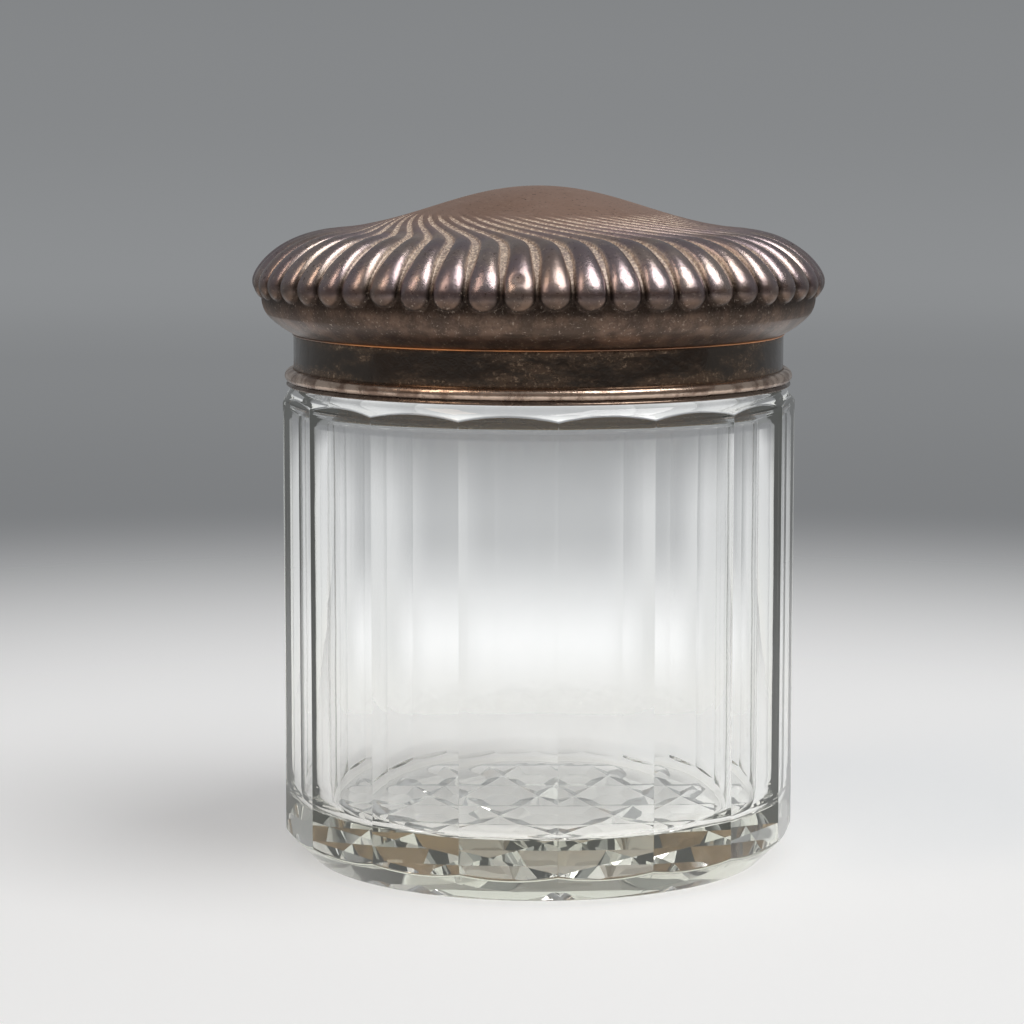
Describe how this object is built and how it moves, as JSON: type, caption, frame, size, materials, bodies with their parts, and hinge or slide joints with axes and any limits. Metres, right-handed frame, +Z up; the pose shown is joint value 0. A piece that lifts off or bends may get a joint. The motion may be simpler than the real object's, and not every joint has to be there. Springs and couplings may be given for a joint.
{
  "type": "powder jar",
  "caption": "Round dressing-table powder jar: panelled cut-glass body with a cut underside and a domed, lobed metal lid that pulls off upwards.",
  "frame": {"origin": "centre of the underside, on the surface that the jar stands on", "axes": "+Z up along the jar's axis; -Y is the side that faces the viewer; +X is to the viewer's right"},
  "size_m": [0.0888, 0.0888, 0.1049],
  "materials": {
    "clear_glass": "polished cut glass, faintly green at the edges",
    "dome_silver": "worn, polished silver with brown tarnish in the grooves",
    "collar_silver": "dark, mottled tarnished silver",
    "bead_silver": "worn, coppery silver"
  },
  "bodies": {
    "jar": {"jar_body": "clear_glass"},
    "lid": {"lid_dome": "dome_silver", "lid_collar": "collar_silver", "lid_bead": "bead_silver"}
  },
  "joints": [
    {"name": "lid_lift", "type": "slide", "parent": "jar", "child": "lid", "axis": [0, 0, 1], "range_m": [0, 0.09]}
  ]
}
